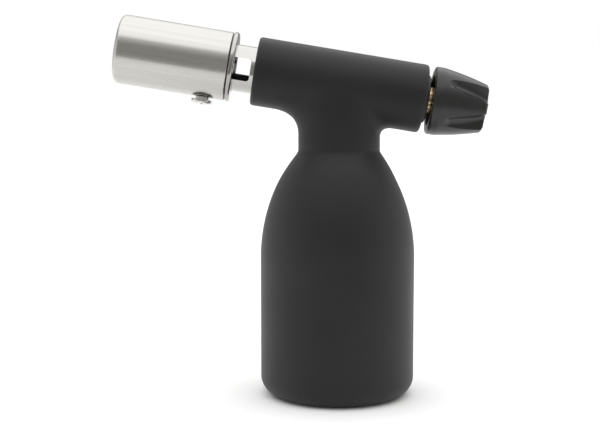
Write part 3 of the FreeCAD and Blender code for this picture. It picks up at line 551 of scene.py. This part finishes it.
def burner():
    """Barrel with a turned-in mouth, the polished flange behind it and a black ring between them that paints the
    shadow in the gap.
    """
    rear, mouth, radius = span("barrel")
    flange_rear, flange_front, flange_radius = span("barrel_cap")
    neck_radius = span("neck_tube")[2]
    wall, lip_width, lip_length, lip_slope, mouth_round = 1.4, 2.5, 2.6, 1.0, 2.1
    bore, lip, lip_end = radius - wall, radius - lip_width, mouth - lip_length
    lathe("barrel_sleeve", [
        (bore, rear, 0.25), (radius, rear, 0.35), (radius, mouth, mouth_round), (lip, mouth, 0.7),
        (lip, lip_end, 0.5), (bore, lip_end - lip_slope)],
        "brushed_steel", "barrel", segments=192, steps=8)
    gap, shelf = 0.4, bore + 0.1
    flange_face = rear - gap
    lathe("barrel_flange", [
        (neck_radius, flange_rear, 0.2), (flange_radius, flange_rear, 0.85),
        (flange_radius, flange_face, 0.5), (shelf, flange_face), (shelf, rear), (bore, rear),
        (bore, flange_front), (neck_radius, flange_front)],
        "chrome", "barrel_cap", segments=192)
    # The black ring fills the gap between flange face and barrel: painted shade, standing for the gap's shadow.
    clearance, gap_shade_depth = 0.02, 0.55
    inside, outside = shelf + clearance, radius - gap_shade_depth
    low, high = flange_face + clearance, rear - clearance
    lathe("barrel_gap_painted_shade", [(inside, low), (outside, low), (outside, high), (inside, high)],
          "black_plastic", segments=192)


def barrel_screw():
    """The CAD screw with its edges broken by a small bevel."""
    source = NODES["barrel_screw"]
    piece = link("barrel_screw_finished", source.data.copy())
    piece.matrix_world = source.matrix_world.copy()
    work = bmesh.new()
    work.from_mesh(piece.data)
    bmesh.ops.remove_doubles(work, verts=work.verts, dist=1e-7)
    bmesh.ops.dissolve_limit(work, angle_limit=math.radians(0.5), verts=work.verts, edges=work.edges)
    work.to_mesh(piece.data)
    work.free()
    bevel = piece.modifiers.new("edges", "BEVEL")
    bevel.width = 0.22 * MM
    bevel.segments = 3
    bevel.limit_method = "ANGLE"
    bevel.angle_limit = math.radians(30)
    bevel.harden_normals = False
    freeze(piece)
    smooth(piece.data, 35)
    dress(piece, "steel", "root", "barrel_screw")


def rear_bush():
    """Collar that stands out of the tube's end, smaller than its seat inside."""
    clearance, step_inside = 0.15, 0.6
    face, front, seat = span("rear_bush")
    collar, bore, step = 0.85 * seat, span("knob_spindle")[2] + clearance, TUBE_REAR + step_inside
    lathe("rear_bush_collar", [
        (bore, face, 0.2), (collar, face, 0.4), (collar, step), (seat, step), (seat, front),
        (bore, front)],
        "black_plastic", "rear_bush")


burner()
barrel_screw()
rear_bush()


# ---------------------------------------------------------------- knob, in mm

KNOB_END, KNOB_FACE, KNOB_RING = span("knob")
TAPER_START = KNOB_FACE - 3.3
NOSE_START = KNOB_END + 1.0
END_RADIUS = 0.694 * KNOB_RING
TAPER_BULGE = 0.35
FLUTES = 5
FLUTE_START = KNOB_FACE - 5.0
FLUTE_OPENING = (6, 17.5)    # half angle at the start and what it gains by the end, in degrees
FLUTE_DEPTH = (0.7, 3.1)     # depth near the start and what it gains by the end
FLUTE_PITCH = ROUND / FLUTES
FIRST_FLUTE = -math.pi / 2 + math.pi / FLUTES


def grip_radius(along):
    """Radius over the lands: the ring, then a slightly bulging taper."""
    if along > TAPER_START:
        return KNOB_RING
    share = (TAPER_START - along) / (TAPER_START - KNOB_END)
    bulge = TAPER_BULGE * math.sin(math.pi * share)
    return KNOB_RING + (END_RADIUS - KNOB_RING) * share + bulge


def flute_depth(angle, along):
    """Depth of the hollow flutes, which open like a V and deepen towards the end."""
    if along >= FLUTE_START:
        return 0.0
    share = (FLUTE_START - along) / (FLUTE_START - KNOB_END)
    half_angle = math.radians(FLUTE_OPENING[0] + FLUTE_OPENING[1] * share ** 0.8)
    away = abs((angle - FIRST_FLUTE + FLUTE_PITCH / 2) % FLUTE_PITCH - FLUTE_PITCH / 2) / half_angle
    if away >= 1:
        return 0.0
    run_in = min(1, 6 * share)
    return (FLUTE_DEPTH[0] + FLUTE_DEPTH[1] * share) * run_in * (1 - away ** 2.5)


def knob():
    """Tapered grip with its recessed face; the flutes are pressed into the turned outline."""
    columns, rows, edge = 600, 84, 0.75
    recess_radius, recess_floor, socket_radius = 0.744 * KNOB_RING, KNOB_FACE - 3.0, 5.0
    least_share = 0.4
    inside = [(socket_radius, recess_floor), (recess_radius, recess_floor), (recess_radius, KNOB_FACE)]
    outline = [(KNOB_RING - edge, KNOB_FACE)]
    outline += [(KNOB_RING - edge + edge * math.sin(a), KNOB_FACE - edge + edge * math.cos(a))
                for a in np.linspace(0.2, math.pi / 2, 5)]
    outline += [(grip_radius(along), along)
                for along in np.linspace(KNOB_FACE - 2 * edge, NOSE_START, rows)]
    nose = grip_radius(NOSE_START)
    outline += [(nose - inset, KNOB_END + height) for inset, height in (
        (0.25, 0.7), (0.6, 0.45), (1.1, 0.25), (2.2, 0.1), (4.5, 0.02))]

    vertices = []
    for k in range(columns):
        angle = ROUND * k / columns
        for radius, along in inside:
            vertices.append((radius * math.cos(angle), radius * math.sin(angle), along))
        for radius, along in outline:
            fade = min(1.0, radius / nose) if along < NOSE_START else 1.0
            radius = max(radius - flute_depth(angle, along) * fade ** 3, least_share * radius)
            vertices.append((radius * math.cos(angle), radius * math.sin(angle), along))
    length = len(inside) + len(outline)
    faces = turned_faces(length, columns, False)
    faces.append([k * length + length - 1 for k in range(columns)])
    faces.append([k * length for k in range(columns)])
    new_piece("knob_grip", vertices, faces, "gloss_black", "knob", "knob", sharp=24)


knob()


# ---------------------------------------------------------------- springs

def coil(node):
    """Spring between the root and a moving body, copied from its CAD node and left fixed where it stands."""
    piece = link(node + "_coil", NODES[node].data.copy())
    piece.data.shade_smooth()
    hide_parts(node)
    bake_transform(piece)


for spring in ("push_spring", "piezo_return_spring", "hammer_spring"):
    low, high = span(spring)[:2]
    coil(spring)
coil("fill_valve_spring")


# ---------------------------------------------------------------- stage, light and camera

def floor():
    """Table whose front edge lies below the picture."""
    side, front, back = 5, -0.27, 9
    mesh = bpy.data.meshes.new("floor")
    mesh.from_pydata([(-side, front, 0), (side, front, 0), (side, back, 0), (-side, back, 0)], [],
                     [(0, 1, 2, 3)])
    ground = link("floor", mesh)
    material, _, shader = new_material("pale_floor", roughness=0.9)
    shader.inputs["Base Color"].default_value = (*grey(0.93), 1)
    mesh.materials.append(material)


def ease_between(tree, value, low, high):
    """0 below low and 1 above high."""
    node = tree.nodes.new("ShaderNodeMapRange")
    node.interpolation_type = "SMOOTHSTEP"
    node.inputs["From Min"].default_value = low
    node.inputs["From Max"].default_value = high
    tree.links.new(value, node.inputs["Value"])
    return node.outputs["Result"]


def math_node(tree, operation, *values):
    node = tree.nodes.new("ShaderNodeMath")
    node.operation = operation
    for socket, value in zip(node.inputs, values):
        tree.links.new(value, socket)
    return node.outputs[0]


def studio():
    """Room with a light ceiling, light sides and a darker front and back, seen as white by the camera."""
    ceiling_edge, side_edge = (0.30, 0.86), (0.72, 0.95)
    dark_wall, bright_wall = (0.38, 0.375, 0.36), grey(1.0)
    world = bpy.data.worlds.new("studio")
    bpy.context.scene.world = world
    world.use_nodes = True
    tree = world.node_tree
    background = tree.nodes["Background"]
    split = tree.nodes.new("ShaderNodeSeparateXYZ")
    tree.links.new(tree.nodes.new("ShaderNodeTexCoord").outputs["Generated"], split.inputs["Vector"])
    ceiling = ease_between(tree, split.outputs["Z"], *ceiling_edge)
    sides = ease_between(tree, math_node(tree, "ABSOLUTE", split.outputs["X"]), *side_edge)
    light = math_node(tree, "MAXIMUM", ceiling, sides)
    seen = tree.nodes.new("ShaderNodeMix")
    seen.data_type = "RGBA"
    seen.inputs["B"].default_value = (1, 1, 1, 1)
    tree.links.new(tree.nodes.new("ShaderNodeLightPath").outputs["Is Camera Ray"], seen.inputs["Factor"])
    tree.links.new(shades(tree, light, dark_wall, bright_wall, 0.0, 1.0), seen.inputs["A"])
    tree.links.new(seen.outputs["Result"], background.inputs["Color"])
    background.inputs["Strength"].default_value = 1.0


def lamp():
    """Very broad light from above and slightly behind."""
    data = bpy.data.lights.new("ceiling_light", "SUN")
    data.energy = 1.9
    data.angle = math.radians(110)
    light = bpy.data.objects.new("ceiling_light", data)
    light.location = (0, -0.2, 1)
    light.rotation_euler = (math.radians(-8), 0, 0)
    bpy.context.scene.collection.objects.link(light)


def camera():
    """Level with the head and looking slightly down, as in the photo."""
    downward, distance, sideways = 5.85, 7.77 * BODY_RADIUS * 2 * MM, -0.0144
    data = bpy.data.cameras.new("camera")
    data.sensor_width = 36
    data.lens = 72
    view = bpy.data.objects.new("camera", data)
    view.location = (sideways, -distance, 0.98 * HEAD_POINT.z)
    view.rotation_euler = (math.radians(90 - downward), 0, 0)
    bpy.context.scene.collection.objects.link(view)
    bpy.context.scene.camera = view


floor()
studio()
lamp()
camera()
bpy.context.scene.view_settings.view_transform = "Standard"
